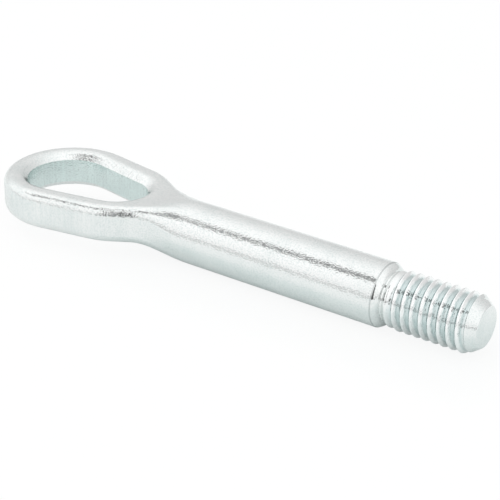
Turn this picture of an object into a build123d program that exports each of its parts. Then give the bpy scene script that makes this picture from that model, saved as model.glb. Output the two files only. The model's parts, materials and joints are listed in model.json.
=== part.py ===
from build123d import *
import math
import os

# Screw-in tow eye, forged in one piece. Millimetres.
# Built with the shank's axis on X, the shoulder edge at X = 0 and the eye level, a little above
# the axis; moved at the end so that it lies on Z = 0 with its box centred on X and Y.

# Shank
shank_diameter = 20.0
shank_length = 70.0
shoulder_edge_back = 0.225
shoulder_edge_length = 0.34
shoulder_edge_drop = 0.24
shoulder_round_length = 1.933
shoulder_half_turn = 25.0

# Stud, plain at the outer diameter of its thread
groove_diameter = 15.7
groove_floor_length = 0.5
land_rise_length = 2.3
land_diameter = 17.5
land_length = 1.6
thread_diameter = 18.2
thread_end_from_shoulder = 28.6
tip_face_diameter = 12.6
tip_chamfer_length = 3.9

# Eye
eye_thickness = 12.5
eye_rise = 1.6
eye_edge_radius = 3.2
eye_outer_radius = 21.9
eye_centre_from_neck = 33.5
arm_taper_angle = 10.0
flare_angle = 31.0
flare_inset = 9.0
flare_corner_radius = 24.0
neck_length = 17.0

# Opening of the eye
arm_width = 8.3
opening_end_wall = 7.5
opening_crotch_inset = 3.2
opening_crotch_wall = 4.0
opening_lip_depth = 2.33
opening_lip_radius = 3.2

shank_radius = shank_diameter / 2
x_neck = -shank_length
x_eye = x_neck - neck_length
x_centre = x_eye - eye_centre_from_neck
half_thickness = eye_thickness / 2
z_top = eye_rise + half_thickness
z_bottom = eye_rise - half_thickness
taper = math.radians(arm_taper_angle)
flare = math.radians(flare_angle)
flare_half_width = eye_outer_radius - flare_inset
opening_end_radius = eye_outer_radius - arm_width
opening_crotch_radius = flare_half_width - opening_crotch_inset

# The rounded rim and the lip meet on a thin wall, so a wall limits them.
thinnest_wall = min(opening_end_wall, arm_width)
rim_radius = min(eye_edge_radius, 0.45 * thinnest_wall, 0.49 * eye_thickness)
lip_wall = min(0.55 * thinnest_wall, opening_crotch_wall)
lip_depth = min(opening_lip_depth, 0.6 * lip_wall, 0.3 * eye_thickness)
lip_radius = min(opening_lip_radius, 0.85 * lip_wall)


def mirrored(point):
    return (point[0], -point[1])


# Outer outline of the eye in plan: round end, tapering arms, flare to the neck.
p_round = (x_centre + eye_outer_radius * math.sin(taper), eye_outer_radius * math.cos(taper))
p_neck = (x_eye, flare_half_width)
rise = p_round[1] + math.tan(taper) * p_round[0] - p_neck[1] - math.tan(flare) * p_neck[0]
x_corner = rise / (math.tan(taper) - math.tan(flare))
y_corner = p_neck[1] - math.tan(flare) * (x_corner - p_neck[0])
tangent = flare_corner_radius * math.tan((flare - taper) / 2)
p_corner_a = (x_corner - tangent * math.cos(taper), y_corner + tangent * math.sin(taper))
p_corner_b = (x_corner + tangent * math.cos(flare), y_corner - tangent * math.sin(flare))
middle = (taper + flare) / 2
p_corner_m = (
    p_corner_a[0] + flare_corner_radius * (math.sin(middle) - math.sin(taper)),
    p_corner_a[1] + flare_corner_radius * (math.cos(middle) - math.cos(taper)),
)

with BuildPart() as eye:
    with BuildSketch(Plane.XY.offset(z_bottom)):
        with BuildLine():
            ThreePointArc(mirrored(p_round), (x_centre - eye_outer_radius, 0), p_round)
            Line(p_round, p_corner_a)
            ThreePointArc(p_corner_a, p_corner_m, p_corner_b)
            Line(p_corner_b, p_neck)
            Line(p_neck, mirrored(p_neck))
            Line(mirrored(p_neck), mirrored(p_corner_b))
            ThreePointArc(mirrored(p_corner_b), mirrored(p_corner_m), mirrored(p_corner_a))
            Line(mirrored(p_corner_a), mirrored(p_round))
        make_face()
    extrude(amount=eye_thickness)
    level = [e for z in (z_top, z_bottom) for e in eye.edges() if abs(e.center().Z - z) < 1e-6]
    rim = [e for e in level if e.center().X < x_eye - 1e-3]
    fillet(rim, rim_radius)

    # Teardrop opening: a large end circle and a small one at the crotch, joined by tangents.
    x_large = x_centre - eye_outer_radius + opening_end_wall + opening_end_radius
    x_small = x_eye - opening_crotch_wall - opening_crotch_radius
    slope = math.asin((opening_end_radius - opening_crotch_radius) / (x_small - x_large))
    q_large = (x_large + opening_end_radius * math.sin(slope), opening_end_radius * math.cos(slope))
    q_small = (x_small + opening_crotch_radius * math.sin(slope), opening_crotch_radius * math.cos(slope))
    with BuildSketch(Plane.XY.offset(z_bottom)):
        with BuildLine():
            ThreePointArc(mirrored(q_large), (x_large - opening_end_radius, 0), q_large)
            Line(q_large, q_small)
            ThreePointArc(q_small, (x_small + opening_crotch_radius, 0), mirrored(q_small))
            Line(mirrored(q_small), mirrored(q_large))
        make_face()
    extrude(amount=eye_thickness, mode=Mode.SUBTRACT)

    # Each lip slopes down to the punched wall, keeps a crisp edge there and rounds off to the flat.
    def opening_edges():
        flats = [f for z in (z_top, z_bottom) for f in eye.faces() if abs(f.center().Z - z) < 1e-6]
        return [e for f in flats for w in f.inner_wires() for e in w.edges()]

    chamfer(opening_edges(), lip_depth)
    fillet(opening_edges(), lip_radius)

# Neck: eight-sided sections that run from the end of the eye to the round of the shank.
# Width leaves the eye along the flare and arrives along the shank; thickness does so level.
corner_y = rim_radius / math.cos(flare)
corner_z = rim_radius
top_span = math.radians(24)
side_span = math.radians(14)


def unit(v):
    size = math.hypot(v[0], v[1])
    return (v[0] / size, v[1] / size)


def neck_wire(part, count=5):
    x = x_eye + neck_length * part
    blend = part * part * (3 - 2 * part)
    lead = part * (1 - part) ** 2
    w = shank_radius + (flare_half_width - shank_radius) * (1 - blend)
    w -= math.tan(flare) * neck_length * lead
    h = half_thickness + (shank_radius - half_thickness) * blend
    z = eye_rise * (1 - blend)
    a = w - corner_y
    b = h - corner_z

    def mixed(flat, curved):
        return tuple((1 - blend) * m + blend * n for m, n in zip(flat, curved))

    def oval(angle):
        return (w * math.sin(angle), h * math.cos(angle))

    steps = [i / (count - 1) for i in range(count)]
    turn = math.pi / 2 - top_span - side_span
    top = [mixed((a * u, h), oval(top_span * u)) for u in steps]
    corner = []
    for u in steps:
        angle = u * math.pi / 2
        square = (a + corner_y * math.sin(angle), b + corner_z * math.cos(angle))
        corner.append(mixed(square, oval(top_span + turn * u)))
    side = [mixed((w, b * (1 - u)), oval(math.pi / 2 - side_span * (1 - u))) for u in steps]
    t1 = unit(mixed((1, 0), unit((w * math.cos(top_span), -h * math.sin(top_span)))))
    t2 = unit(mixed((0, -1), unit((w * math.sin(side_span), -h * math.cos(side_span)))))

    def flipped(points, sy, sz):
        return [(sy * p[0], sz * p[1]) for p in points]

    def curve(points, start, end):
        ends = [Vector(0, start[0], start[1]), Vector(0, end[0], end[1])]
        return Edge.make_spline([Vector(x, p[0], z + p[1]) for p in points], tangents=ends)

    top = flipped(top, -1, 1)[::-1] + top[1:]
    side = side + flipped(side, 1, -1)[::-1][1:]
    return Wire(
        [
            curve(top, (t1[0], -t1[1]), t1),
            curve(corner, t1, t2),
            curve(side, t2, (-t2[0], t2[1])),
            curve(flipped(corner, 1, -1)[::-1], (-t2[0], t2[1]), (-t1[0], t1[1])),
            curve(flipped(top, 1, -1)[::-1], (-t1[0], t1[1]), (-t1[0], -t1[1])),
            curve(flipped(corner, -1, -1), (-t1[0], -t1[1]), (-t2[0], -t2[1])),
            curve(flipped(side, -1, 1)[::-1], (-t2[0], -t2[1]), (t2[0], -t2[1])),
            curve(flipped(corner, -1, 1)[::-1], (t2[0], -t2[1]), (t1[0], -t1[1])),
        ]
    )


def round_edge(start, end):
    points = []
    for angle in (start, (start + end) / 2, end):
        points.append(Vector(x_neck, shank_radius * math.sin(angle), shank_radius * math.cos(angle)))
    return Edge.make_three_point_arc(*points)


stops = [-top_span, top_span]
for quarter in (1, 2, 3):
    span = side_span if quarter % 2 else top_span
    stops += [quarter * math.pi / 2 - span, quarter * math.pi / 2 + span]
stops.append(2 * math.pi - top_span)
shank_wire = Wire([round_edge(stops[i], stops[i + 1]) for i in range(8)])
eye_wire = eye.part.faces().sort_by(Axis.X)[-1].outer_wire()
shares = (0.06, 0.14, 0.24, 0.36, 0.48, 0.6, 0.72, 0.84, 0.93)
neck_wires = [neck_wire(share) for share in shares]
neck = Solid.make_loft([eye_wire] + neck_wires + [shank_wire], ruled=False)

# Shank, shoulder, groove and stud as one turned profile.
groove_radius = groove_diameter / 2
land_radius = land_diameter / 2
thread_radius = thread_diameter / 2
tip_radius = tip_face_diameter / 2
shoulder_radius = shank_radius - shoulder_edge_drop
x_edge = -shoulder_edge_back
x_shoulder = x_edge + shoulder_edge_length
x_groove = x_shoulder + shoulder_round_length
x_rise = x_groove + groove_floor_length
x_land = x_rise + land_rise_length
x_thread = x_land + land_length
x_end = thread_end_from_shoulder + tip_chamfer_length
# Middle points of the two convex arcs: the shoulder's, bulging off its chord, and the rise's.
bulge = math.tan(math.radians(shoulder_half_turn) / 2) / 2
p_shoulder = (
    (x_shoulder + x_groove) / 2 + bulge * (shoulder_radius - groove_radius),
    (shoulder_radius + groove_radius) / 2 + bulge * shoulder_round_length,
)
rise_turn = 2 * math.atan2(land_radius - groove_radius, land_rise_length)
rise_radius = land_rise_length / math.sin(rise_turn)
p_rise = (
    x_land - rise_radius * math.sin(rise_turn / 2),
    land_radius - rise_radius * (1 - math.cos(rise_turn / 2)),
)
with BuildPart() as turned:
    with BuildSketch(Plane.XZ):
        with BuildLine():
            Line((x_groove, groove_radius), (x_rise, groove_radius))
            ThreePointArc((x_rise, groove_radius), p_rise, (x_land, land_radius))
            Polyline(
                (x_land, land_radius),
                (x_thread, thread_radius),
                (thread_end_from_shoulder, thread_radius),
                (x_end, tip_radius),
                (x_end, 0),
                (x_neck, 0),
                (x_neck, shank_radius),
                (x_edge, shank_radius),
                (x_shoulder, shoulder_radius),
            )
            ThreePointArc((x_shoulder, shoulder_radius), p_shoulder, (x_groove, groove_radius))
        make_face()
    revolve(axis=Axis.X)

tow_eye = eye.part.fuse(neck, turned.part)
x_middle = (x_centre - eye_outer_radius + x_end) / 2
tow_eye = tow_eye.translate((-x_middle, 0, shank_radius))

os.makedirs("parts", exist_ok=True)
export_step(tow_eye, "parts/tow_eye.step")
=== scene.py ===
"""Screw-in tow eye: the forged body with its rolled thread, zinc plating and a plain studio."""

import json
import math

import bpy
import numpy as np
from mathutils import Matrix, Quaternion, Vector


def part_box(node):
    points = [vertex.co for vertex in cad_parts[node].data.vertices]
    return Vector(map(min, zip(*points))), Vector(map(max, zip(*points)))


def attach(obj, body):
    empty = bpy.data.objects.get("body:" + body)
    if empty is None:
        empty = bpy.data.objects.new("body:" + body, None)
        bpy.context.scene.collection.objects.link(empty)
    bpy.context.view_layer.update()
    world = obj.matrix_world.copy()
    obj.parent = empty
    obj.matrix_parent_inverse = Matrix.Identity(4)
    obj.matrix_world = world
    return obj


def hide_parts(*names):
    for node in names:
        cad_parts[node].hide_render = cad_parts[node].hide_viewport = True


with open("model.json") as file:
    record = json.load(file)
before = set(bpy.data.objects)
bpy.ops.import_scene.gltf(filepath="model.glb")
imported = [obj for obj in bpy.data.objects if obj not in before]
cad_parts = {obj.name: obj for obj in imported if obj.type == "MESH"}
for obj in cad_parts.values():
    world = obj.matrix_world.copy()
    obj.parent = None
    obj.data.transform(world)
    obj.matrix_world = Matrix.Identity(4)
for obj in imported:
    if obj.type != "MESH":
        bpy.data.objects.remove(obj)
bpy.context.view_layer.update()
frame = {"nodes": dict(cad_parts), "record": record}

bl_info = {
    "name": "Tow eye",
    "version": (1, 0, 0),
    "blender": (4, 5, 0),
    "location": "3D View > Sidebar > Tow eye",
    "description": "Dresses the packed tow eye: rolled thread, zinc plating and studio",
    "category": "Object",
}

MM = 0.001
FULL_TURN = 2 * math.pi
WHITE = (1.0, 1.0, 1.0, 1.0)
PIECE = "forged_tow_eye"
NODE = "tow_eye"
BODY = "root"
node_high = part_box(NODE)[1]
# Height of the shank's axis, from the shank's own mount
axis_height = frame["record"]["mounts"][0]["pos_m"][2]

# Mesh of the stud
FLANK_ANGLE = math.radians(30)
SHARP_ANGLE = math.radians(38)
SHOULDER_RINGS = 11
RISE_RINGS = 3
ROWS_PER_PITCH = 40
CHAMFER_RINGS = 5
TIP_EDGE_RINGS = 6
# Rings on the tip face, as shares of its radius
TIP_FACE_RINGS = (0.92, 0.5)
# Share of the tip's chamfer that the thread's rows cover
ROWS_ON_CHAMFER = 0.62
# Turns added to the thread's rows, which slant, so that they cover both ends
SPARE_TURNS = 2.1
# Tolerances for points that fall together, for a level ring and for an edge at a given place
WELD_STEP = 0.5e-3 * MM
RING_LEVEL = 0.01 * MM
CRISP_REACH = 1e-3 * MM

# Noise values between which a cloud, a fleck or a streak sets in, and how far each dulls the plating
CLOUD_STEP = (0.42, 0.68)
FLECK_STEP = (0.45, 0.70)
STREAK_STEP = (0.3, 0.7)
CLOUD_DULLS = 0.2
FLECK_DULLS = 0.34
STREAK_DULLS = 0.24
MEAN_DULL = 0.15
# The upward part of a normal below which a face is a wall, and above which it is none
UPRIGHT_STEP = (0.1, 0.35)
# Lengths over which the areas of the finish fade
EYE_FADE = 4 * MM
EDGE_FADE = 0.05 * MM
# Where the thread's finish starts and ends to fade, from the start of the tip's chamfer
TIP_FADE = (-0.5 * MM, 0.6 * MM)
# Where the painted cool shade on the opening's wall starts and ends to fade, in shares of the oval about it
WALL_SHADE_FADE = (0.97, 1.1)
# Depths below the crests at which the roots' painted shade is full and at which it sets in
ROOT_SHADE_FULL = 1.45 * MM
ROOT_SHADE_FROM = 0.6 * MM
# How far the painted dark line on the shoulder's fine edge shows
EDGE_LINE_DARKNESS = 0.5

# Brightness of the studio round the part: degrees from overhead, front negative, and strength
DOME = (
    (-90, 0.62),
    (-85, 0.62),
    (-79, 1.05),
    (-50, 1.17),
    (-33, 1.19),
    (-17, 1.20),
    (9, 1.17),
    (27, 1.06),
    (47, 0.89),
    (70, 0.79),
    (90, 0.75),
)
# The ramp runs over a full turn, and its values are shares of the top strength
DOME_SPAN = 360.0
DOME_TOP = 1.25
# The dark gap above the front panel, in degrees from overhead: where it starts to darken, is dark,
# ends being dark and is light again. Its ends say the same in degrees about the vertical.
GAP_ABOVE = (-33.0, -29.5, -19.5, -15.0)
GAP_ABOVE_ENDS = (-154.5, -150.5, -92.0, -82.0)
# The dark gap beside the front panel, in degrees about the vertical, and where it fades overhead
GAP_BESIDE = (-79.0, -75.0, -62.0, -57.0)
GAP_BESIDE_TOP = (-36.0, -30.0)
# How much of the light each gap takes away
GAP_ABOVE_DARK = 0.8
GAP_BESIDE_DARK = 0.88
# Nearest distance that the camera shows, in metres
LENS_CLEARANCE = 0.01


def length(name, description, default):
    """A size in metres, shown in the sidebar."""
    return bpy.props.FloatProperty(
        name=name, description=description, default=default, unit="LENGTH", precision=5
    )


def share(name, description, default):
    """A plain number from 0 to 1."""
    return bpy.props.FloatProperty(
        name=name, description=description, default=default, min=0, max=1, subtype="FACTOR"
    )


def number(name, description, default):
    """A plain number with no unit."""
    return bpy.props.FloatProperty(name=name, description=description, default=default)


def angle(name, description, degrees):
    """An angle, written in degrees and kept in radians."""
    return bpy.props.FloatProperty(
        name=name, description=description, default=math.radians(degrees), subtype="ANGLE"
    )


def colour(name, description, default):
    """A linear colour."""
    return bpy.props.FloatVectorProperty(
        name=name, description=description, default=default, min=0, max=1, subtype="COLOR"
    )


def place(name, description, default):
    """A point in the part's frame, in metres."""
    return bpy.props.FloatVectorProperty(
        name=name, description=description, default=default, unit="LENGTH", subtype="TRANSLATION"
    )


class StudSizes(bpy.types.PropertyGroup):
    """Sizes along the stud, measured from the shoulder's edge."""

    stud_length: length("Stud length", "Shoulder edge to tip face", 32.5 * MM)
    shank_diameter: length("Shank diameter", "Across the plain shank", 20.0 * MM)
    edge_back: length("Edge", "Where the shank ends, behind the shoulder's edge", 0.225 * MM)
    edge_width: length("Edge width", "Length of the fine bevel on that edge", 0.34 * MM)
    edge_drop: length("Edge drop", "Drop of the fine bevel", 0.24 * MM)
    shoulder_turn: angle("Shoulder turn", "Half the turn of the rounded shoulder", 25.0)
    groove_start: length("Groove start", "Where the rounded shoulder meets the groove", 2.048 * MM)
    groove_floor: length("Groove floor", "Length of the groove's floor", 0.5 * MM)
    groove_diameter: length("Groove diameter", "Across the groove's floor", 15.7 * MM)
    rise_length: length("Rise length", "Rounded rise from the groove to the land", 2.3 * MM)
    land_diameter: length("Land diameter", "Across the land before the thread", 17.5 * MM)
    land_length: length("Land length", "Cone from the land to the first crest", 1.6 * MM)
    thread_diameter: length("Thread diameter", "Over the crests", 18.2 * MM)
    thread_depth: length("Thread depth", "Crest to root", 1.5 * MM)
    pitch: length("Pitch", "Crest to crest, right-hand, one start", 2.93 * MM)
    crest_width: length("Crest width", "Flat of a crest", 0.24 * MM)
    crest_rounding: length("Crest rounding", "Softens crests and roots", 0.15 * MM)
    first_crest: length("First crest", "Where a crest passes the crest angle", 8.67 * MM)
    crest_angle: angle("Crest angle", "Angle about the axis for the first crest", 58.9)
    run_in_start: length("Run-in start", "Where the thread starts to bite", 2.7 * MM)
    run_in: length("Run-in", "Length over which the thread reaches its depth", 3.9 * MM)
    thread_end: length("Thread end", "Where the tip's chamfer starts", 28.6 * MM)
    tip_diameter: length("Tip face", "Across the flat tip face", 12.6 * MM)
    tip_rounding: length("Tip rounding", "Rounding between chamfer and tip face", 0.4 * MM)


class ZincFinish(bpy.types.PropertyGroup):
    """Bright zinc over a forged skin, with painted shade on the opening's wall and in the thread's roots,
    and a painted dark line on the shoulder's edge.
    """

    tint: colour("Zinc", "Clean plating", (0.832, 0.848, 0.842))
    shade: colour("Dull zinc", "Plating where it is thin or stained", (0.62, 0.69, 0.685))
    # Painted cool shade: the opening's wall is coloured cooler to stand in for the shade there and the light
    # mirrored between its sides, not for a different plating
    wall: colour("Punched wall", "Plating on the wall of the opening", (0.80, 0.90, 0.885))
    wall_middle: length("Opening middle", "Middle of the opening, along the part", -58.0 * MM)
    wall_reach: length("Opening reach", "Half the length of the area with that wall", 24.5 * MM)
    wall_width: length("Opening width", "Half the width of that area", 17.0 * MM)
    rolled: colour("Rolled thread", "Plating on the thread, clean and bright", (0.92, 0.927, 0.927))
    # Painted shade: the thread's roots are coloured darker and cooler to stand in for the little light that
    # reaches down between the crests
    root: colour("Thread roots", "Plating down between the crests", (0.585, 0.67, 0.67))
    # Painted dark line: a thin dark ring on the shoulder's fine edge that stands in for a dark reflection
    # there
    edge: colour("Edge line", "Plating on the shoulder's fine edge", (0.36, 0.39, 0.39))
    roughness: share("Roughness", "Mean roughness of the plating", 0.17)
    roughness_spread: share("Roughness spread", "How far the roughness wanders", 0.12)
    grain_size: length("Grain size", "Grain of the forged skin", 0.46 * MM)
    grain_height: length("Grain height", "Height of that grain", 0.054 * MM)
    eye_grain: number("Eye grain", "How many times higher the grain is on the eye", 1.6)
    stud_polish: share("Stud polish", "How much smoother the rolled stud is", 0.6)
    wave_size: length("Wave size", "Unevenness left by the die", 7.0 * MM)
    wave_height: length("Wave height", "Height of that unevenness", 0.06 * MM)
    stain_size: length("Stain size", "Clouds in the plating", 11.0 * MM)
    fleck_size: length("Fleck size", "Dull flecks in the plating", 0.45 * MM)
    streak_size: length("Streak size", "Width of the upright streaks on the eye's walls", 0.7 * MM)
    streak_stretch: number("Streak stretch", "Height of a streak in widths", 14.0)
    streak_depth: length("Streak depth", "Relief of those streaks", 0.05 * MM)
    rolled_size: length("Rolling mark size", "Width of the fine marks along the thread", 0.62 * MM)
    rolled_stretch: number("Rolling mark stretch", "Length of such a mark in widths", 3.0)
    rolled_depth: length("Rolling mark depth", "Relief of those marks", 0.19 * MM)
    eye_end: length("Eye end", "Where the walls with streaks end, along the part", -30.0 * MM)


class StudioSizes(bpy.types.PropertyGroup):
    """Camera, floor and light."""

    camera_place: place("Camera", "Place of the lens", (0.250677, -0.358222, 0.225954))
    camera_aim: place("Aim", "Point in the middle of the picture", (0.00466, 0.00239, 0.00867))
    camera_roll: angle("Roll", "Turn of the camera about its own line of sight", 1.16)
    sensor: number("Sensor", "Width of the sensor in millimetres", 36.0)
    lens: number("Lens", "Focal length in millimetres", 113.389)
    floor_size: length("Floor", "Side of the floor", 12.0)
    floor_tint: colour("Floor colour", "Matt white floor", (0.88, 0.91, 0.908))
    # Painted shadow: a darker, cooler floor below the shank and the stud, which the metal mirrors
    shade_tint: colour("Shaded floor", "Floor below the shank and the stud", (0.74, 0.81, 0.805))
    shade_reach: length("Shade reach", "How far the shaded floor goes to both sides", 0.016)
    shade_fade: length("Shade fade", "How far it takes to fade to the plain floor", 0.018)
    shade_end: length("Shade end", "Where it ends towards the eye, along the part", -0.052)
    floor_glow: share("Floor glow", "How far the floor shows plain white", 0.90)
    floor_glow_in_gloss: share("Floor glow in gloss", "The same, as seen in polished metal", 0.12)
    key_size: length("Key size", "Side of the soft key light", 0.9)
    key_power: number("Key power", "Power of the key light in watts", 3.5)
    key_tint: colour("Key colour", "Colour of the key light", (1.0, 0.90, 0.89))
    key_place: place("Key place", "Place of the key light", (-0.25, -0.75, 1.1))


class Shade:
    """A shader socket that takes part in Python expressions."""

    def __init__(self, tree, socket=None):
        self.tree = tree
        self.socket = socket

    def node(self, kind, settings=None, inputs=None, output=0):
        """Adds a node: its settings first, then its sockets, given as values or as other shades."""
        made = self.tree.nodes.new(kind)
        for name, value in (settings or {}).items():
            if name == "stops":
                set_stops(made.color_ramp, value)
            else:
                setattr(made, name, value)
        for name, value in (inputs or {}).items():
            target = made.inputs[name]
            if isinstance(value, Shade):
                self.tree.links.new(value.socket, target)
            else:
                target.default_value = value
        return Shade(self.tree, made.outputs[output]) if made.outputs else made

    def maths(self, operation, first, second=0.0):
        """A Math node on two values."""
        return self.node("ShaderNodeMath", {"operation": operation}, {0: first, 1: second})

    def __add__(self, other):
        return self.maths("ADD", self, other)

    def __radd__(self, other):
        return self.maths("ADD", other, self)

    def __sub__(self, other):
        return self.maths("SUBTRACT", self, other)

    def __rsub__(self, other):
        return self.maths("SUBTRACT", other, self)

    def __mul__(self, other):
        return self.maths("MULTIPLY", self, other)

    def __rmul__(self, other):
        return self.maths("MULTIPLY", other, self)

    def arctan2(self, other):
        """The angle whose tangent is this value over the other, in radians."""
        return self.maths("ARCTAN2", self, other)

    def largest(self, other):
        """The larger of two values."""
        return self.maths("MAXIMUM", self, other)

    def size(self):
        """The value without its sign."""
        return self.maths("ABSOLUTE", self)

    def step(self, low, high):
        """0 below low, 1 above high, smooth between."""
        settings = {"interpolation_type": "SMOOTHSTEP"}
        inputs = {"Value": self, "From Min": low, "From Max": high}
        return self.node("ShaderNodeMapRange", settings, inputs)

    def between(self, limits):
        """1 from the second to the third limit, smooth to 0 at the first and the fourth."""
        return self.step(*limits[:2]) * (1 - self.step(*limits[2:]))

    def ramp(self, stops):
        """A grey ramp with stops of (place, value)."""
        return self.node("ShaderNodeValToRGB", {"stops": stops}, {"Fac": self})

    def times(self, scale):
        """A vector, scaled by axis."""
        return self.node("ShaderNodeVectorMath", {"operation": "MULTIPLY"}, {0: self, 1: scale})

    def distance(self, point):
        """How far a vector lies from a point."""
        inputs = {0: self, 1: point}
        return self.node("ShaderNodeVectorMath", {"operation": "DISTANCE"}, inputs, output="Value")

    def axis(self, name):
        """One component of a vector."""
        return self.node("ShaderNodeSeparateXYZ", {}, {"Vector": self}, output=name)

    def blend(self, dark, light):
        """Mixes two colours by this value: the first at 0, the second at 1."""
        inputs = {"Factor": self, 6: dark, 7: light}
        return self.node("ShaderNodeMix", {"data_type": "RGBA"}, inputs, output=2)

    def noise(self, size, detail=2.0):
        """Noise on this vector with features of about that size, in metres."""
        inputs = {"Vector": self, "Scale": 1 / size, "Detail": detail}
        return self.node("ShaderNodeTexNoise", {}, inputs)


def set_stops(ramp, stops):
    """Gives a colour ramp the stops (place, value)."""
    while len(ramp.elements) < len(stops):
        ramp.elements.new(1.0)
    for element, (where, value) in zip(ramp.elements, stops):
        element.position = where
        element.color = (value, value, value, 1.0)


def empty_tree(holder):
    """Clears the nodes of a material or a world, to build on."""
    holder.use_nodes = True
    holder.node_tree.nodes.clear()
    return Shade(holder.node_tree)


def opaque(tint):
    """A colour with full alpha."""
    return (*tint, 1.0)


def weld(points, faces):
    """Joins points that fall together; returns points, faces and each face's number before."""
    keys = np.round(np.asarray(points) / WELD_STEP).astype(np.int64)
    _, first, index = np.unique(keys, axis=0, return_index=True, return_inverse=True)
    index = index.reshape(-1)
    welded = []
    sources = []
    for source, face in enumerate(faces):
        corners = [int(index[v]) for v in face]
        slim = [v for i, v in enumerate(corners) if v != corners[i - 1]]
        if len(set(slim)) == len(slim) and len(slim) > 2:
            welded.append(slim)
            sources.append(source)
    return np.asarray(points)[first], welded, sources


def packed_form(x_end):
    """Welded points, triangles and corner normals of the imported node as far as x_end."""
    mesh = frame["nodes"][NODE].data
    points = np.empty(len(mesh.vertices) * 3)
    mesh.vertices.foreach_get("co", points)
    corners = np.empty(len(mesh.loops), dtype=np.int64)
    mesh.loops.foreach_get("vertex_index", corners)
    normals = np.empty(len(mesh.loops) * 3)
    mesh.corner_normals.foreach_get("vector", normals)
    points = points.reshape(-1, 3)
    triangles = corners.reshape(-1, 3)
    normals = normals.reshape(-1, 3, 3)
    stays = points[triangles][:, :, 0].max(axis=1) < x_end
    points, faces, sources = weld(points, triangles[stays])
    if any(len(face) != 3 for face in faces):
        raise RuntimeError("the packed node has a face that is not a triangle")
    return points, faces, normals[stays][sources]


def open_ring(points, faces):
    """The indices round the one open end of a form, in order of their angle about the axis."""
    uses = {}
    for face in faces:
        for i, v in enumerate(face):
            edge = frozenset((face[i - 1], v))
            uses[edge] = uses.get(edge, 0) + 1
    ring = sorted({v for edge, count in uses.items() if count == 1 for v in edge})
    if not ring or np.ptp(points[ring][:, 0]) > RING_LEVEL:
        raise RuntimeError("the body is not open at the shank's end alone")
    around = np.arctan2(points[ring][:, 2] - axis_height, points[ring][:, 1])
    return [ring[i] for i in np.argsort(around)], np.sort(around)


class Stud:
    """The turned and rolled form of the stud as a radius over length and angle."""

    def __init__(self, sizes):
        self.sizes = sizes
        self.groove = sizes.groove_diameter / 2
        self.land = sizes.land_diameter / 2
        self.crest = sizes.thread_diameter / 2
        self.tip = sizes.tip_diameter / 2
        self.x_rise = sizes.groove_start + sizes.groove_floor
        self.x_land = self.x_rise + sizes.rise_length
        self.x_crest = self.x_land + sizes.land_length
        self.x_tip = sizes.stud_length
        step = self.land - self.groove
        self.rise_radius = (sizes.rise_length**2 + step**2) / (2 * step)

    def shoulder(self):
        """Points (length, radius) of the rounded shoulder, from the fine bevel to the groove."""
        sizes = self.sizes
        start = np.array([sizes.edge_width - sizes.edge_back, sizes.shank_diameter / 2 - sizes.edge_drop])
        end = np.array([sizes.groove_start, self.groove])
        chord = end - start
        out = np.array([-chord[1], chord[0]])
        half = sizes.shoulder_turn
        turn = np.linspace(-half, half, SHOULDER_RINGS)
        along = (1 + np.sin(turn) / math.sin(half)) / 2
        bulge = (np.cos(turn) - math.cos(half)) / (2 * math.sin(half))
        return start + along[:, None] * chord + bulge[:, None] * out

    def turned(self, x):
        """Radius before the thread is rolled, from the groove to the tip."""
        along = [self.x_land, self.x_crest, self.sizes.thread_end, self.x_tip]
        plain = np.interp(x, along, [self.land, self.crest, self.crest, self.tip])
        back = np.clip(self.x_land - x, 0, self.sizes.rise_length)
        rise = self.land - self.rise_radius + np.sqrt(self.rise_radius**2 - back**2)
        return np.where(x < self.x_land, rise, plain)

    def cut(self, x, around):
        """Depth of the thread below the turned form, which grows over the run-in."""
        sizes = self.sizes
        turns = (x - sizes.first_crest) / sizes.pitch - (around - sizes.crest_angle) / FULL_TURN
        from_crest = np.abs(turns - np.round(turns)) * sizes.pitch
        flank = (from_crest - sizes.crest_width / 2) / math.tan(FLANK_ANGLE)
        soft = sizes.crest_rounding
        opened = soft * np.logaddexp(0, flank / soft)
        depth = opened - soft * np.logaddexp(0, (opened - sizes.thread_depth) / soft)
        start = np.clip((x - sizes.run_in_start) / sizes.run_in, 0, 1)
        return depth * start * start * (3 - 2 * start)

    def radius(self, x, around):
        """Radius of the rolled form. On the chamfer the thread keeps its own depth below the crests."""
        turned = self.turned(x)
        over_crests = np.where(x < self.x_crest, turned, self.crest)
        return np.minimum(turned, over_crests - self.cut(x, around))

    def tip_outline(self, x_start):
        """Points (length, radius) from a place on the chamfer over its rounded edge to the tip face."""
        lean = math.atan((self.crest - self.tip) / (self.x_tip - self.sizes.thread_end))
        rounding = self.sizes.tip_rounding
        reach = rounding * math.tan((math.pi / 2 - lean) / 2)
        x_edge = self.x_tip - reach * math.cos(lean)
        face = self.tip - reach
        outline = [(x, self.turned(x)) for x in np.linspace(x_start, x_edge, CHAMFER_RINGS)[:-1]]
        for tilt in np.linspace(math.pi / 2 - lean, 0, TIP_EDGE_RINGS):
            x = self.x_tip - rounding + rounding * math.cos(tilt)
            outline.append((x, face + rounding * math.sin(tilt)))
        return outline + [(self.x_tip, face * part) for part in TIP_FACE_RINGS]


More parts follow.
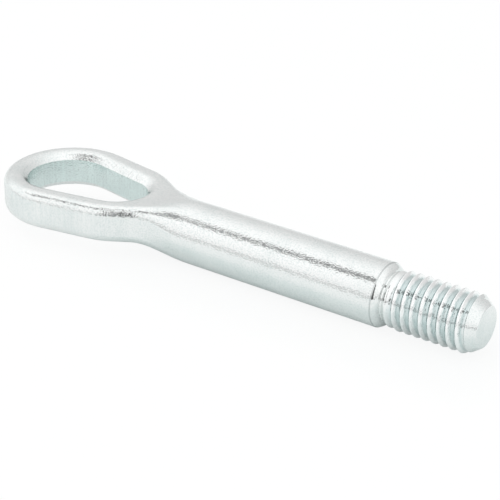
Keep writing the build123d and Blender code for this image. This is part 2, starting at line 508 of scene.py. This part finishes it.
class Skin:
    """Rings of points about the axis, at the same angles each, and the faces between them."""

    def __init__(self, around, shoulder):
        self.around = around
        self.shoulder = shoulder
        self.points = []
        self.faces = []

    def ring(self, x, radius, around=None):
        """Adds a ring of points and returns the number of its first one."""
        around = self.around if around is None else around
        start = sum(len(points) for points in self.points)
        x = np.broadcast_to(x, around.shape)
        across = radius * np.cos(around)
        up = axis_height + radius * np.sin(around)
        self.points.append(np.stack([self.shoulder + x, across, up], axis=-1))
        return start

    def band(self, first, second):
        """Adds the faces between two rings."""
        columns = len(self.around)
        for i in range(columns):
            after = (i + 1) % columns
            self.faces.append((first + i, second + i, second + after, first + after))

    def lathe(self, outline):
        """Adds rings along an outline of (length, radius), joined by bands; returns the last one."""
        last = None
        for x, radius in outline:
            now = self.ring(x, radius)
            if last is not None:
                self.band(last, now)
            last = now
        return last

    def double(self, start, count):
        """Adds the faces from a ring of so many points to the next ring, which has twice as many."""
        for i in range(count):
            after = (i + 1) % count
            near = start + count + 2 * i
            far = start + count + 2 * after
            middle = near + 1
            self.faces += [
                (start + i, near, middle),
                (start + i, middle, start + after),
                (start + after, middle, far),
            ]


def roll_thread(skin, stud, x_from, x_to):
    """Adds the thread on rows that follow the helix and stop at a flat ring at both ends."""
    pitch = stud.sizes.pitch
    around = skin.around
    columns = len(around)
    turn = (around - around[0]) / FULL_TURN
    count = int(math.ceil((x_to - x_from) / pitch + SPARE_TURNS)) * ROWS_PER_PITCH
    rows = []
    for row in range(count + 1):
        x = np.clip(x_from + pitch * (row / ROWS_PER_PITCH - 1 + turn), x_from, x_to)
        rows.append(skin.ring(x, stud.radius(x, around)))
    for row in range(count):
        a = rows[row]
        b = rows[row + 1]
        for i in range(columns - 1):
            skin.faces.append((a + i, b + i, b + i + 1, a + i + 1))
        # A row's last column meets the first column of the row one turn on
        if row + 1 + ROWS_PER_PITCH <= count:
            end = columns - 1
            skin.faces.append((a + end, b + end, rows[row + 1 + ROWS_PER_PITCH], rows[row + ROWS_PER_PITCH]))


def stud_form(sizes, start_around, shoulder):
    """Points and faces of the stud from the shank's open end to the tip face."""
    stud = Stud(sizes)
    gap = np.diff(np.append(start_around, start_around[0] + FULL_TURN))
    around = np.stack([start_around, start_around + gap / 2], axis=1).reshape(-1)
    skin = Skin(around, shoulder)
    first = skin.ring(-sizes.edge_back, sizes.shank_diameter / 2, start_around)
    skin.double(first, len(start_around))
    x_from = sizes.run_in_start
    rise = [(x, stud.turned(x)) for x in np.linspace(stud.x_rise, x_from, RISE_RINGS)]
    skin.lathe([*stud.shoulder(), *rise])
    x_to = sizes.thread_end + (stud.x_tip - sizes.thread_end) * ROWS_ON_CHAMFER
    roll_thread(skin, stud, x_from, x_to)
    last = skin.lathe(stud.tip_outline(x_to))
    skin.faces.append(tuple(range(last, last + len(around))))
    return np.concatenate(skin.points), skin.faces


def keep_crisp(mesh, places):
    """Marks the rings at those places along the part as sharp."""
    for edge in mesh.edges:
        ends = [mesh.vertices[v].co.x for v in edge.vertices]
        if any(max(abs(x - where) for x in ends) < CRISP_REACH for where in places):
            edge.use_edge_sharp = True


class TOWEYE_OT_forge_body(bpy.types.Operator):
    """Takes the forged form as far as the shank's end and rolls the stud on to it, in one skin"""

    bl_idname = "tow_eye.forge_body"
    bl_label = "Forge body and roll thread"

    def execute(self, context):
        sizes = context.scene.tow_eye_stud
        shoulder = shoulder_place(sizes)
        points, faces, normals = packed_form(shoulder)
        ring, around = open_ring(points, faces)
        stud_points, stud_faces = stud_form(sizes, around, shoulder)
        stud_points[: len(ring)] = points[ring]
        stud_points, stud_faces, _ = weld(stud_points, stud_faces)
        joined = np.concatenate([points, stud_points])
        moved = [[v + len(points) for v in face] for face in stud_faces]
        whole, skin, sources = weld(joined, faces + moved)
        if len(sources) != len(faces) + len(moved):
            raise RuntimeError("the stud does not close on to the body")
        mesh = bpy.data.meshes.new(PIECE)
        mesh.from_pydata(whole.tolist(), [], skin)
        if mesh.validate():
            raise RuntimeError("the joined skin has a faulty face")
        mesh.polygons.foreach_set("use_smooth", [True] * len(mesh.polygons))
        mesh.set_sharp_from_angle(angle=SHARP_ANGLE)
        edge = shoulder - sizes.edge_back
        keep_crisp(mesh, [edge, edge + sizes.edge_width])
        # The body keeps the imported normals; a zero normal leaves the stud's to Blender
        free = len(mesh.loops) - 3 * len(faces)
        corner_normals = normals.reshape(-1, 3).tolist() + [(0.0, 0.0, 0.0)] * free
        mesh.normals_split_custom_set(corner_normals)
        piece = bpy.data.objects.new(PIECE, mesh)
        context.scene.collection.objects.link(piece)
        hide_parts(NODE)
        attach(piece, BODY)
        return {"FINISHED"}


def shoulder_place(sizes):
    """Where the shoulder's edge lies along the part."""
    return node_high.x - sizes.stud_length


class TOWEYE_OT_plate_zinc(bpy.types.Operator):
    """Gives the piece its bright zinc plating over the forged skin, with painted shade on the opening's
    wall, in the thread's roots and on the shoulder's edge
    """

    bl_idname = "tow_eye.plate_zinc"
    bl_label = "Plate with zinc"

    def execute(self, context):
        piece = bpy.data.objects.get(PIECE)
        if piece is None:
            raise RuntimeError("there is no body to plate yet")
        piece.data.materials.clear()
        piece.data.materials.append(zinc_plating(context.scene.tow_eye_zinc, context.scene.tow_eye_stud))
        return {"FINISHED"}


def thread_areas(at, along, stud):
    """Masks of the thread and of the painted shade in its roots."""
    bite = shoulder_place(stud) + stud.run_in_start
    full = bite + stud.run_in
    end = shoulder_place(stud) + stud.thread_end
    ends = (end + TIP_FADE[0], end + TIP_FADE[1])
    thread = along.between((bite, bite + stud.pitch, *ends))
    crest = stud.thread_diameter / 2
    from_axis = at.times((0, 1, 1)).distance((0, 0, axis_height))
    # Painted shade, which grows the further a point lies below the crests
    low = 1 - from_axis.step(crest - ROOT_SHADE_FULL, crest - ROOT_SHADE_FROM)
    return thread, along.between((full - stud.pitch, full, *ends)) * low


def painted_wall_shade(at, upright, finish):
    """Mask of the painted cool shade on the opening's wall: what is upright in an oval about the opening."""
    reach = finish.wall_reach
    scaled = at.times((1 / reach, 1 / finish.wall_width, 0))
    out = scaled.distance((finish.wall_middle / reach, 0, 0))
    return upright * (1 - out.step(*WALL_SHADE_FADE))


def zinc_plating(finish, stud):
    """Metal with clouded plating, dull flecks, a fine grain and the die's unevenness, and painted shade on
    the opening's wall, in the thread's roots and as a dark line on the shoulder's edge.
    """
    material = bpy.data.materials.new("bright_zinc_plating")
    start = empty_tree(material)
    at = start.node("ShaderNodeTexCoord", output="Object")
    facing = start.node("ShaderNodeTexCoord", output="Normal")
    along = at.axis("X")
    upright = 1 - facing.axis("Z").size().step(*UPRIGHT_STEP)
    on_eye = 1 - along.step(finish.eye_end - EYE_FADE, finish.eye_end)
    edge_start = shoulder_place(stud) - stud.edge_back
    edge_end = edge_start + stud.edge_width
    # Where the painted dark line on the shoulder's edge lies
    painted_edge_line = along.between((edge_start - EDGE_FADE, edge_start, edge_end, edge_end + EDGE_FADE))
    on_stud = along.step(edge_start, edge_end)
    on_thread, painted_root_shade = thread_areas(at, along, stud)

    # Dull places: clouds, flecks and, on the eye's walls, upright streaks
    clouds = at.noise(finish.stain_size, detail=3.0).step(*CLOUD_STEP)
    flecks = at.noise(finish.fleck_size, detail=0.0).step(*FLECK_STEP)
    drawn = at.times((1, 1, 1 / finish.streak_stretch)).noise(finish.streak_size).step(*STREAK_STEP)
    streaks = drawn * (upright * on_eye)
    dull = clouds * CLOUD_DULLS + flecks * FLECK_DULLS + streaks * STREAK_DULLS

    # Colour, from the clean plating to the parts that differ from it. The opening's wall gets a painted cool
    # shade, the thread's roots a painted shade and the shoulder's edge a painted dark line.
    tint = painted_wall_shade(at, upright, finish).blend(opaque(finish.tint), opaque(finish.wall))
    tint = dull.blend(tint, opaque(finish.shade))
    tint = on_thread.blend(tint, opaque(finish.rolled))
    # Painted shade in the thread's roots
    tint = painted_root_shade.blend(tint, opaque(finish.root))
    # Painted dark reflection line on the shoulder's edge
    tint = (painted_edge_line * EDGE_LINE_DARKNESS).blend(tint, opaque(finish.edge))

    # Relief in metres: the forged grain, the die's unevenness, streaks and rolling marks
    polish = 1 - on_stud * finish.stud_polish
    grain = at.noise(finish.grain_size, detail=0.0) * finish.grain_height
    skin = grain * polish * (1 + on_eye * (finish.eye_grain - 1))
    wave = at.noise(finish.wave_size, detail=1.0) * finish.wave_height
    shrink = 1 / finish.rolled_stretch
    rolled = at.times((1, shrink, shrink)).noise(finish.rolled_size) * finish.rolled_depth
    relief = skin + wave + streaks * finish.streak_depth + rolled * on_thread
    bump = start.node("ShaderNodeBump", {}, {"Strength": 1.0, "Distance": 1.0, "Height": relief})

    roughness = (finish.roughness + (dull - MEAN_DULL) * finish.roughness_spread) * polish
    inputs = {"Base Color": tint, "Metallic": 1.0, "Roughness": roughness, "Normal": bump}
    surface = start.node("ShaderNodeBsdfPrincipled", {}, inputs)
    start.node("ShaderNodeOutputMaterial", {}, {"Surface": surface})
    return material


class TOWEYE_OT_set_stage(bpy.types.Operator):
    """Sets the floor, the studio light and the camera"""

    bl_idname = "tow_eye.set_stage"
    bl_label = "Set stage"

    def execute(self, context):
        studio = context.scene.tow_eye_studio
        context.scene.view_settings.view_transform = "Standard"
        lay_floor(context.scene, studio)
        light_studio(context.scene)
        hang_key(context.scene, studio)
        aim_camera(context.scene, studio)
        return {"FINISHED"}


def ray_kinds(start, *names):
    """Light Path outputs by name."""
    return [start.node("ShaderNodeLightPath", output=name) for name in names]


def lay_floor(scene, studio):
    """A matt white floor that shows mostly plain white and keeps the shadow, with a painted shadow below the
    shank and the stud.
    """
    half = studio.floor_size / 2
    mesh = bpy.data.meshes.new("studio_floor")
    corners = [(-half, -half, 0), (half, -half, 0), (half, half, 0), (-half, half, 0)]
    mesh.from_pydata(corners, [], [(0, 1, 2, 3)])
    floor = bpy.data.objects.new("studio_floor", mesh)
    scene.collection.objects.link(floor)
    material = bpy.data.materials.new("matt_white_floor")
    start = empty_tree(material)

    # Painted shadow: the floor is darker and cooler below the shank and the stud, which the metal mirrors
    at = start.node("ShaderNodeTexCoord", output="Object")
    fade = studio.shade_fade
    beside = at.axis("Y").size().step(studio.shade_reach, studio.shade_reach + fade)
    ends = (studio.shade_end, studio.shade_end + fade, node_high.x, node_high.x + fade)
    below = at.axis("X").between(ends) * (1 - beside)
    plain = start.node("ShaderNodeBsdfDiffuse", {}, {"Color": opaque(studio.floor_tint)})
    shaded = start.node("ShaderNodeBsdfDiffuse", {}, {"Color": opaque(studio.shade_tint)})
    matt = start.node("ShaderNodeMixShader", {}, {"Fac": below, 1: plain, 2: shaded})

    glow = start.node("ShaderNodeEmission", {}, {"Color": WHITE, "Strength": 1.0})
    rays = ("Is Camera Ray", "Is Glossy Ray", "Is Transmission Ray")
    camera_ray, glossy_ray, clear_ray = ray_kinds(start, *rays)
    factor = camera_ray.largest(clear_ray) * studio.floor_glow + glossy_ray * studio.floor_glow_in_gloss
    mixed = start.node("ShaderNodeMixShader", {}, {"Fac": factor, 1: matt, 2: glow})
    start.node("ShaderNodeOutputMaterial", {}, {"Surface": mixed})
    mesh.materials.append(material)


def light_studio(scene):
    """Soft panels in front and overhead as the world, with the dark gaps between them."""
    world = bpy.data.worlds.new("studio_dome")
    scene.world = world
    start = empty_tree(world)
    direction = start.node("ShaderNodeTexCoord", output="Generated")
    across = direction.axis("Y")
    from_top = across.arctan2(direction.axis("Z")) * math.degrees(1)
    bearing = across.arctan2(direction.axis("X")) * math.degrees(1)
    stops = [(0.5 + degrees / DOME_SPAN, value / DOME_TOP) for degrees, value in DOME]
    panels = (from_top * (1 / DOME_SPAN) + 0.5).ramp(stops)
    above = from_top.between(GAP_ABOVE) * bearing.between(GAP_ABOVE_ENDS) * GAP_ABOVE_DARK
    beside = bearing.between(GAP_BESIDE) * (1 - from_top.step(*GAP_BESIDE_TOP)) * GAP_BESIDE_DARK
    dark = start.node("ShaderNodeBackground", {}, {"Color": WHITE, "Strength": 0.0})
    lit = start.node("ShaderNodeBackground", {}, {"Color": WHITE, "Strength": DOME_TOP})
    glow = panels * (1 - above.largest(beside))
    dome = start.node("ShaderNodeMixShader", {}, {"Fac": glow, 1: dark, 2: lit})
    white = start.node("ShaderNodeBackground", {}, {"Color": WHITE, "Strength": 1.0})
    (camera_ray,) = ray_kinds(start, "Is Camera Ray")
    mixed = start.node("ShaderNodeMixShader", {}, {"Fac": camera_ray, 1: dome, 2: white})
    start.node("ShaderNodeOutputWorld", {}, {"Surface": mixed})


def hang_key(scene, studio):
    """One soft key light for the shadow, which the metal doesn't mirror."""
    lamp = bpy.data.lights.new("soft_key", "AREA")
    lamp.size = studio.key_size
    lamp.energy = studio.key_power
    lamp.color = studio.key_tint
    key = bpy.data.objects.new("soft_key", lamp)
    key.location = studio.key_place
    key.rotation_mode = "QUATERNION"
    key.rotation_quaternion = (-Vector(studio.key_place)).to_track_quat("-Z", "Y")
    key.visible_glossy = False
    scene.collection.objects.link(key)


def aim_camera(scene, studio):
    """A long lens from the front right, level but for a slight roll."""
    lens = bpy.data.cameras.new("studio_camera")
    lens.sensor_width = studio.sensor
    lens.lens = studio.lens
    lens.clip_start = LENS_CLEARANCE
    camera = bpy.data.objects.new("studio_camera", lens)
    sight = Vector(studio.camera_aim) - Vector(studio.camera_place)
    roll = Quaternion((0, 0, 1), studio.camera_roll)
    camera.location = studio.camera_place
    camera.rotation_mode = "QUATERNION"
    camera.rotation_quaternion = sight.to_track_quat("-Z", "Y") @ roll
    scene.collection.objects.link(camera)
    scene.camera = camera


class TOWEYE_PT_sidebar(bpy.types.Panel):
    """Sizes, finish and stage of the tow eye"""

    bl_idname = "TOWEYE_PT_sidebar"
    bl_label = "Tow eye"
    bl_space_type = "VIEW_3D"
    bl_region_type = "UI"
    bl_category = "Tow eye"

    def draw(self, context):
        for operator, group in STEPS:
            self.layout.operator(operator)
            settings = getattr(context.scene, group)
            for name in settings.__annotations__:
                self.layout.prop(settings, name)


STEPS = (
    ("tow_eye.forge_body", "tow_eye_stud"),
    ("tow_eye.plate_zinc", "tow_eye_zinc"),
    ("tow_eye.set_stage", "tow_eye_studio"),
)
GROUPS = {"tow_eye_stud": StudSizes, "tow_eye_zinc": ZincFinish, "tow_eye_studio": StudioSizes}
CLASSES = (
    *GROUPS.values(),
    TOWEYE_OT_forge_body,
    TOWEYE_OT_plate_zinc,
    TOWEYE_OT_set_stage,
    TOWEYE_PT_sidebar,
)


def register():
    for made in CLASSES:
        bpy.utils.register_class(made)
    for name, group in GROUPS.items():
        setattr(bpy.types.Scene, name, bpy.props.PointerProperty(type=group))


def unregister():
    for name in GROUPS:
        delattr(bpy.types.Scene, name)
    for made in reversed(CLASSES):
        bpy.utils.unregister_class(made)


def main():
    register()
    bpy.ops.tow_eye.forge_body()
    bpy.ops.tow_eye.plate_zinc()
    bpy.ops.tow_eye.set_stage()


if __name__ == "__main__":
    main()
